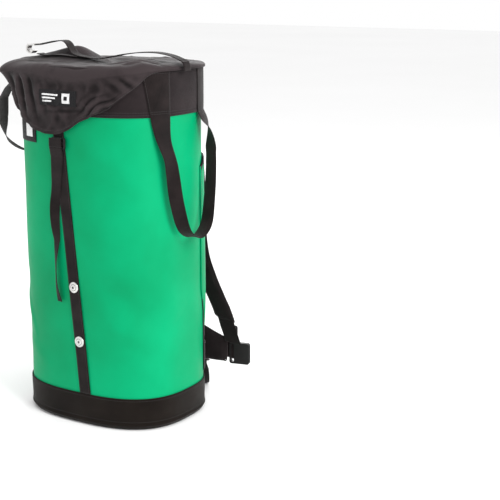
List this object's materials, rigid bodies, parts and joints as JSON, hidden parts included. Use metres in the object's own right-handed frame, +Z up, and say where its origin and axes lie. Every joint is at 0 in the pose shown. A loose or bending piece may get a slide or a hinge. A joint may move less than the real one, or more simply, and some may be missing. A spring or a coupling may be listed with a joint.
{
  "type": "rope haul bag",
  "caption": "Tall oval rope bag with a stiff coated shell, black base and collar, folding lid, haul loops and a padded backpack harness.",
  "frame": {"origin": "middle of the base, on the floor", "axes": "+Z up, the front faces -Y, the harness is on +Y, +X is to the right seen from the front"},
  "size_m": [0.4384, 0.5103, 0.7417],
  "materials": {
    "green_vinyl": "semi-gloss coated cloth",
    "black_nylon": "matte woven nylon",
    "black_webbing": "ribbed flat webbing",
    "blue_coating": "semi-gloss coated cloth",
    "steel": "satin",
    "black_plastic": "moulded acetal",
    "label": "printed patch"
  },
  "bodies": {
    "bag": {"base_cap": "black_nylon", "floor_layer": "green_vinyl", "body_shell": "green_vinyl", "collar_band": "black_nylon", "front_strap": "black_webbing", "rivet_upper": "steel", "rivet_upper_washer": "steel", "rivet_lower": "steel", "rivet_lower_washer": "steel", "side_strap": "black_webbing", "gusset_left": "black_nylon", "gusset_right": "black_nylon", "anchor_patch_left": "black_nylon", "anchor_patch_right": "black_nylon", "anchor_webbing_left": "black_webbing", "anchor_webbing_right": "black_webbing", "side_label": "label", "pocket_panel": "green_vinyl", "pocket_lining": "blue_coating", "lumbar_panel": "black_nylon", "belt_sleeve": "black_nylon", "haul_leg_long_front": "black_webbing", "haul_leg_long_back": "black_webbing", "haul_leg_short_front": "black_webbing", "haul_leg_short_back": "black_webbing"},
    "lid": {"lid_flap": "black_nylon", "lid_label": "label", "top_strap": "black_webbing"},
    "top_hook": {"top_hook": "steel"},
    "closure_buckle": {"closure_buckle": "black_plastic"},
    "closure_tail": {"closure_tail": "black_webbing"},
    "haul_loop_long": {"haul_loop_long": "black_webbing"},
    "haul_loop_short": {"haul_loop_short": "black_webbing"},
    "adjuster_left": {"adjuster_left": "black_plastic"},
    "shoulder_left": {"shoulder_pad_left": "black_nylon", "shoulder_webbing_left": "black_webbing"},
    "ladder_lock_left": {"ladder_lock_left": "black_plastic"},
    "lower_left": {"lower_webbing_left": "black_webbing", "lower_buckle_left": "black_plastic", "shoulder_tail": "black_webbing"},
    "hip_wing_left": {"hip_wing_left": "black_nylon", "hip_webbing_left": "black_webbing", "hip_tail_left": "black_webbing"},
    "adjuster_right": {"adjuster_right": "black_plastic"},
    "shoulder_right": {"shoulder_pad_right": "black_nylon", "shoulder_webbing_right": "black_webbing"},
    "ladder_lock_right": {"ladder_lock_right": "black_plastic"},
    "lower_right": {"lower_webbing_right": "black_webbing", "lower_buckle_right": "black_plastic"},
    "hip_wing_right": {"hip_wing_right": "black_nylon", "hip_webbing_right": "black_webbing", "hip_tail_right": "black_webbing"},
    "hip_buckle_male": {"hip_buckle_male": "black_plastic"},
    "hip_buckle_female": {"hip_buckle_female": "black_plastic"}
  },
  "joints": [
    {"name": "lid_hinge", "type": "hinge", "parent": "bag", "child": "lid", "pos_m": [0, 0.1445, 0.7035], "axis": [-1, 0, 0], "range_deg": [0, 150]},
    {"name": "top_hook_pivot", "type": "hinge", "parent": "lid", "child": "top_hook", "pos_m": [-0.1305, -0.058, 0.733], "axis": [0, 1, 0], "range_deg": [0, 90]},
    {"name": "closure_buckle_tilt", "type": "hinge", "parent": "lid", "child": "closure_buckle", "pos_m": [-0.01809, -0.14029, 0.5665], "axis": [-0.9999, 0.0163, 0], "range_deg": [0, 80]},
    {"name": "closure_tail_swing", "type": "hinge", "parent": "bag", "child": "closure_tail", "pos_m": [-0.03721, -0.13824, 0.544], "axis": [-0.9985, 0.0555, 0], "range_deg": [0, 80]},
    {"name": "haul_loop_long_swing", "type": "hinge", "parent": "bag", "child": "haul_loop_long", "pos_m": [0.183, -0.0035, 0.611], "axis": [0, -1, 0], "range_deg": [0, 120]},
    {"name": "haul_loop_short_swing", "type": "hinge", "parent": "bag", "child": "haul_loop_short", "pos_m": [-0.183, -0.0035, 0.611], "axis": [0, 1, 0], "range_deg": [0, 120]},
    {"name": "adjuster_left_pivot", "type": "hinge", "parent": "bag", "child": "adjuster_left", "pos_m": [-0.0718, 0.14254, 0.58], "axis": [0.9857, 0.1685, 0], "range_deg": [0, 60]},
    {"name": "shoulder_left_swing", "type": "hinge", "parent": "adjuster_left", "child": "shoulder_left", "pos_m": [-0.0718, 0.14254, 0.541], "axis": [0.9857, 0.1685, 0], "range_deg": [0, 60]},
    {"name": "adjuster_right_pivot", "type": "hinge", "parent": "bag", "child": "adjuster_right", "pos_m": [0.0718, 0.14254, 0.58], "axis": [0.9857, -0.1685, 0], "range_deg": [0, 60]},
    {"name": "shoulder_right_swing", "type": "hinge", "parent": "adjuster_right", "child": "shoulder_right", "pos_m": [0.0718, 0.14254, 0.541], "axis": [0.9857, -0.1685, 0], "range_deg": [0, 60]},
    {"name": "ladder_lock_left_tilt", "type": "hinge", "parent": "shoulder_left", "child": "ladder_lock_left", "pos_m": [-0.07886, 0.18625, 0.45324], "axis": [0.9857, 0.1685, 0], "range_deg": [0, 60]},
    {"name": "lower_left_swing", "type": "hinge", "parent": "shoulder_left", "child": "lower_left", "pos_m": [-0.08609, 0.17865, 0.212], "axis": [0.9857, 0.1685, 0], "range_deg": [0, 60]},
    {"name": "ladder_lock_right_tilt", "type": "hinge", "parent": "shoulder_right", "child": "ladder_lock_right", "pos_m": [0.0777, 0.17702, 0.43254], "axis": [0.9857, -0.1685, 0], "range_deg": [0, 60]},
    {"name": "lower_right_swing", "type": "hinge", "parent": "shoulder_right", "child": "lower_right", "pos_m": [0.15757, 0.16359, 0.158], "axis": [0.9857, -0.1685, 0], "range_deg": [0, 60]},
    {"name": "hip_wing_left_swing", "type": "hinge", "parent": "bag", "child": "hip_wing_left", "pos_m": [-0.062, 0.151, 0.122], "axis": [0, 0, -1], "range_deg": [0, 15]},
    {"name": "hip_wing_right_swing", "type": "hinge", "parent": "bag", "child": "hip_wing_right", "pos_m": [0.062, 0.151, 0.124], "axis": [0, 0, 1], "range_deg": [0, 15]},
    {"name": "hip_buckle_male_swing", "type": "hinge", "parent": "hip_wing_left", "child": "hip_buckle_male", "pos_m": [-0.18168, 0.15203, 0.07528], "axis": [0, 0, -1], "range_deg": [0, 20]},
    {"name": "hip_buckle_female_swing", "type": "hinge", "parent": "hip_wing_right", "child": "hip_buckle_female", "pos_m": [0.14743, 0.18204, 0.09229], "axis": [0, 0, 1], "range_deg": [0, 20]}
  ]
}
